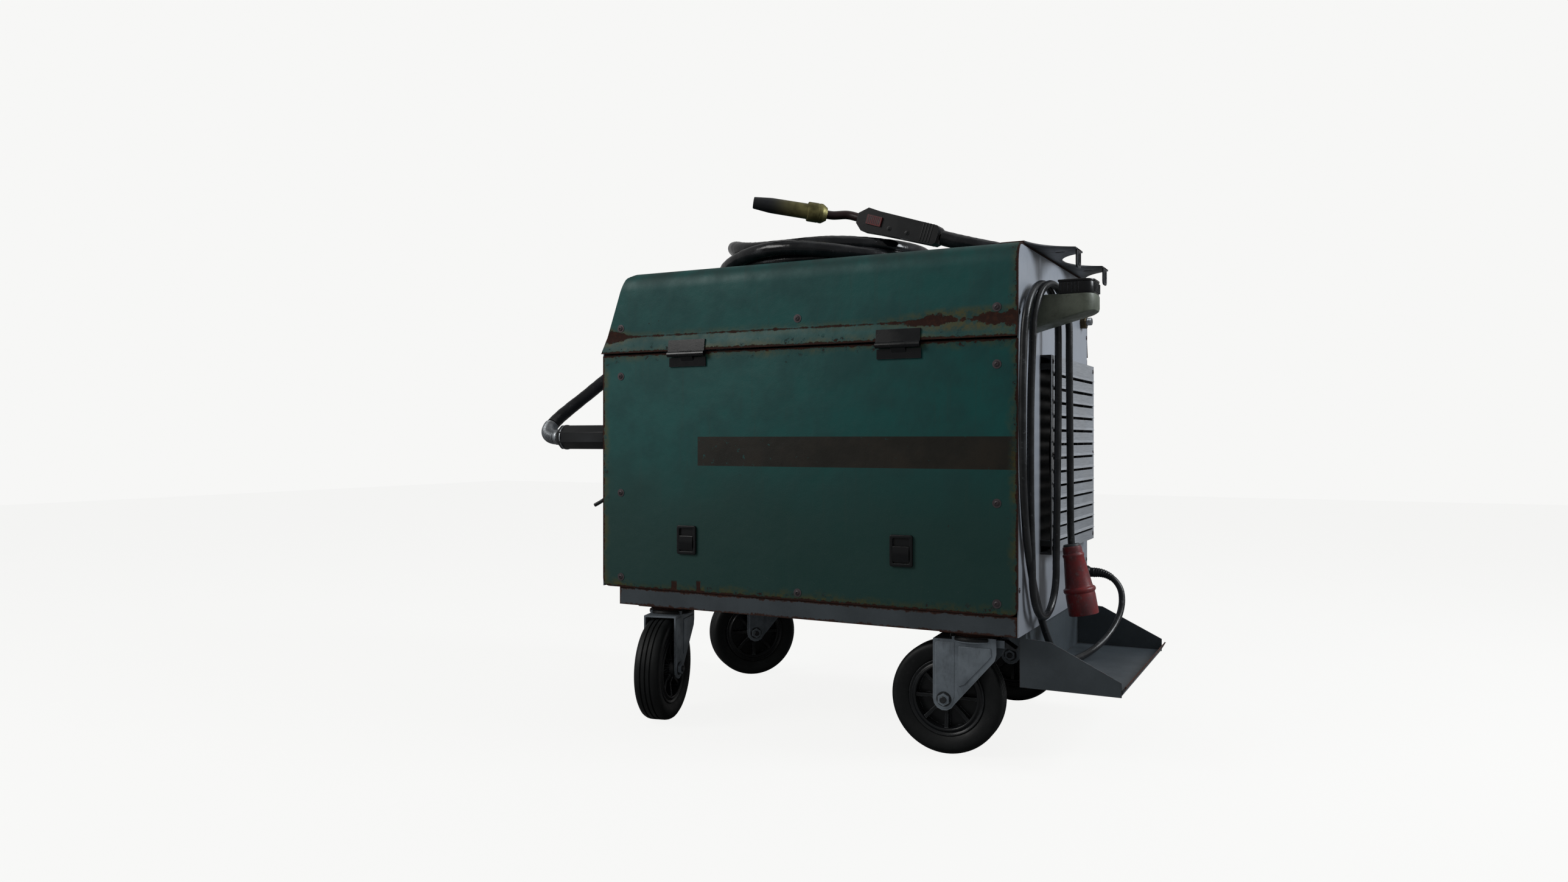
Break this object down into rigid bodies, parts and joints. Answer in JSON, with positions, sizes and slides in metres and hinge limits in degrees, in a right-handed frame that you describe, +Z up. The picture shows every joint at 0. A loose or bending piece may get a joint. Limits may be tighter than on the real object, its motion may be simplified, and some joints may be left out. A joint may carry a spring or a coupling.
{
  "type": "mig welder on cart",
  "caption": "Worn green MIG welding power source on swivel castors, with a hinged side door, a bottle tray behind, a torch coiled on the lid and the mains cable over a hook",
  "frame": {"origin": "centre of the machine's bounding box without its free cords, on the floor", "axes": "+X from the control panel to the rear with the bottle tray, +Y from the door side to the closed side, +Z up"},
  "size_m": [1.2618, 0.6406, 1.0228],
  "materials": {
    "green_paint": "worn dark teal green paint, rust at the edges",
    "blue_grey_paint": "dark blue-grey paint, rusty lower edges",
    "panel_steel": "dull brushed zinc-coated sheet",
    "louvre_steel": "dark brushed sheet with bright slat edges",
    "black_steel": "black enamel",
    "black_plastic": "black moulded plastic",
    "red_plastic": "dull dark red moulded plastic",
    "hook_plastic": "grey-green moulded plastic",
    "rim_plastic": "glossy black moulded rim",
    "tyre": "black solid rubber",
    "zinc": "dull zinc-plated pressing",
    "core_iron": "varnished iron laminations",
    "winding": "varnished copper winding",
    "aluminium": "cast feeder body",
    "roll_steel": "ground steel roll",
    "wire": "copper-coated welding wire on its spool",
    "brass": "dull brass",
    "nozzle_brass": "tarnished brass, black with soot at the tip",
    "hose_sleeve": "glossy wrinkled black sleeve",
    "cable_rubber": "black rubber-sheathed cable"
  },
  "bodies": {
    "cabinet": {"base_frame": "blue_grey_paint", "front_panel": "panel_steel", "rear_panel": "panel_steel", "top_cover": "green_paint", "side_panel": "green_paint", "divider": "panel_steel", "hinge_leaf_front": "black_steel", "hinge_leaf_rear": "black_steel", "vent_louvre": "louvre_steel", "fan_motor": "black_steel", "transformer_core": "core_iron", "transformer_winding": "winding", "feed_drive": "aluminium", "cable_hook": "hook_plastic", "bottle_bracket": "blue_grey_paint", "gas_tray": "blue_grey_paint", "gas_inlet": "brass", "mains_gland": "black_plastic", "torch_socket": "brass", "torch_plug": "black_plastic", "panel_meter": "black_plastic", "earth_socket": "black_plastic", "torch_handle": "black_plastic", "torch_neck": "black_steel", "torch_nozzle": "nozzle_brass", "hose_up": "hose_sleeve", "hose_coil": "hose_sleeve", "hose_down": "hose_sleeve", "mains_cable": "cable_rubber", "mains_plug": "red_plastic"},
    "door": {"side_door": "green_paint", "door_leaf_front": "black_steel", "door_leaf_rear": "black_steel", "latch_bezel_front": "black_plastic", "latch_bezel_rear": "black_plastic"},
    "latch_front": {"latch_paddle_front": "black_plastic"},
    "latch_rear": {"latch_paddle_rear": "black_plastic"},
    "fan": {"fan_rotor": "black_plastic"},
    "spool": {"wire_spool": "wire"},
    "drive_roll": {"drive_roll": "roll_steel"},
    "pressure_arm": {"pressure_arm": "black_plastic"},
    "pressure_roll": {"pressure_roll": "roll_steel"},
    "voltage_switch": {"voltage_switch": "black_plastic"},
    "wire_speed_knob": {"wire_speed_knob": "black_plastic"},
    "mains_switch": {"mains_switch": "red_plastic"},
    "gas_test_lever": {"gas_test_lever": "black_steel"},
    "torch_trigger": {"torch_trigger": "red_plastic"},
    "brake": {"brake_rear_near": "zinc"},
    "fork_front_near": {"fork_front_near": "zinc"},
    "wheel_front_near": {"rim_front_near": "rim_plastic", "tyre_front_near": "tyre"},
    "fork_front_far": {"fork_front_far": "zinc"},
    "wheel_front_far": {"rim_front_far": "rim_plastic", "tyre_front_far": "tyre"},
    "fork_rear_near": {"fork_rear_near": "zinc"},
    "wheel_rear_near": {"rim_rear_near": "rim_plastic", "tyre_rear_near": "tyre"},
    "fork_rear_far": {"fork_rear_far": "zinc"},
    "wheel_rear_far": {"rim_rear_far": "rim_plastic", "tyre_rear_far": "tyre"}
  },
  "joints": [
    {"name": "door_hinge", "type": "hinge", "parent": "cabinet", "child": "door", "pos_m": [0.03486, -0.23971, 0.718], "axis": [-1, 0, 0], "range_deg": [0, 105]},
    {"name": "latch_front_turn", "type": "hinge", "parent": "door", "child": "latch_front", "pos_m": [-0.18664, -0.23531, 0.339], "axis": [1, 0, 0], "range_deg": [0, 60], "stiffness_Nm_per_rad": 0.02},
    {"name": "latch_rear_turn", "type": "hinge", "parent": "door", "child": "latch_rear", "pos_m": [0.25836, -0.23531, 0.339], "axis": [1, 0, 0], "range_deg": [0, 60], "stiffness_Nm_per_rad": 0.02},
    {"name": "fan_spin", "type": "hinge", "parent": "cabinet", "child": "fan", "pos_m": [0.38486, 0.09829, 0.525], "axis": [1, 0, 0], "continuous": true},
    {"name": "spool_spin", "type": "hinge", "parent": "cabinet", "child": "spool", "pos_m": [0.21486, -0.14471, 0.485], "axis": [0, 1, 0], "continuous": true},
    {"name": "drive_spin", "type": "hinge", "parent": "cabinet", "child": "drive_roll", "pos_m": [-0.09514, -0.15171, 0.5378], "axis": [0, 1, 0], "continuous": true},
    {"name": "pressure_lift", "type": "hinge", "parent": "cabinet", "child": "pressure_arm", "pos_m": [-0.04314, -0.15171, 0.5727], "axis": [0, 1, 0], "range_deg": [0, 40]},
    {"name": "pressure_spin", "type": "hinge", "parent": "pressure_arm", "child": "pressure_roll", "pos_m": [-0.09514, -0.15171, 0.5727], "axis": [0, 1, 0], "continuous": true},
    {"name": "voltage_turn", "type": "hinge", "parent": "cabinet", "child": "voltage_switch", "pos_m": [-0.36563, -0.10171, 0.801], "axis": [-0.9439, 0, 0.3304], "range_deg": [0, 300]},
    {"name": "wire_speed_turn", "type": "hinge", "parent": "cabinet", "child": "wire_speed_knob", "pos_m": [-0.36563, 0.01829, 0.801], "axis": [-0.9439, 0, 0.3304], "range_deg": [0, 270]},
    {"name": "mains_turn", "type": "hinge", "parent": "cabinet", "child": "mains_switch", "pos_m": [-0.39114, 0.20829, 0.62], "axis": [-1, 0, 0], "range_deg": [0, 90]},
    {"name": "gas_test_turn", "type": "hinge", "parent": "cabinet", "child": "gas_test_lever", "pos_m": [-0.39114, -0.18671, 0.44], "axis": [-1, 0, 0], "range_deg": [-45, 45]},
    {"name": "trigger_press", "type": "slide", "parent": "cabinet", "child": "torch_trigger", "axis": [0, 1, 0], "range_m": [0, 0.003], "stiffness_N_per_m": 400},
    {"name": "swivel_front_near", "type": "hinge", "parent": "cabinet", "child": "fork_front_near", "pos_m": [-0.26114, -0.17271, 0.206], "axis": [0, 0, 1], "continuous": true},
    {"name": "wheel_spin_front_near", "type": "hinge", "parent": "fork_front_near", "child": "wheel_front_near", "pos_m": [-0.25034, -0.21948, 0.1], "axis": [-0.9744, -0.225, 0], "continuous": true},
    {"name": "swivel_front_far", "type": "hinge", "parent": "cabinet", "child": "fork_front_far", "pos_m": [-0.26114, 0.25529, 0.206], "axis": [0, 0, 1], "continuous": true},
    {"name": "wheel_spin_front_far", "type": "hinge", "parent": "fork_front_far", "child": "wheel_front_far", "pos_m": [-0.29508, 0.22135, 0.1], "axis": [-0.7071, 0.7071, 0], "continuous": true},
    {"name": "swivel_rear_near", "type": "hinge", "parent": "cabinet", "child": "fork_rear_near", "pos_m": [0.37386, -0.17271, 0.206], "axis": [0, 0, 1], "range_deg": [-94, 86]},
    {"name": "wheel_spin_rear_near", "type": "hinge", "parent": "fork_rear_near", "child": "wheel_rear_near", "pos_m": [0.32598, -0.17606, 0.1], "axis": [-0.0698, 0.9976, 0], "continuous": true},
    {"name": "swivel_rear_far", "type": "hinge", "parent": "cabinet", "child": "fork_rear_far", "pos_m": [0.37386, 0.25529, 0.206], "axis": [0, 0, 1], "range_deg": [-90, 90]},
    {"name": "wheel_spin_rear_far", "type": "hinge", "parent": "fork_rear_far", "child": "wheel_rear_far", "pos_m": [0.32586, 0.25529, 0.1], "axis": [0, 1, 0], "continuous": true},
    {"name": "brake_press", "type": "hinge", "parent": "fork_rear_near", "child": "brake", "pos_m": [0.42274, -0.16929, 0.1985], "axis": [-0.0698, 0.9976, 0], "range_deg": [0, 12]}
  ],
  "couplings": [
    {"joint": "pressure_spin", "follows": "drive_spin", "ratio": -1.2333}
  ]
}
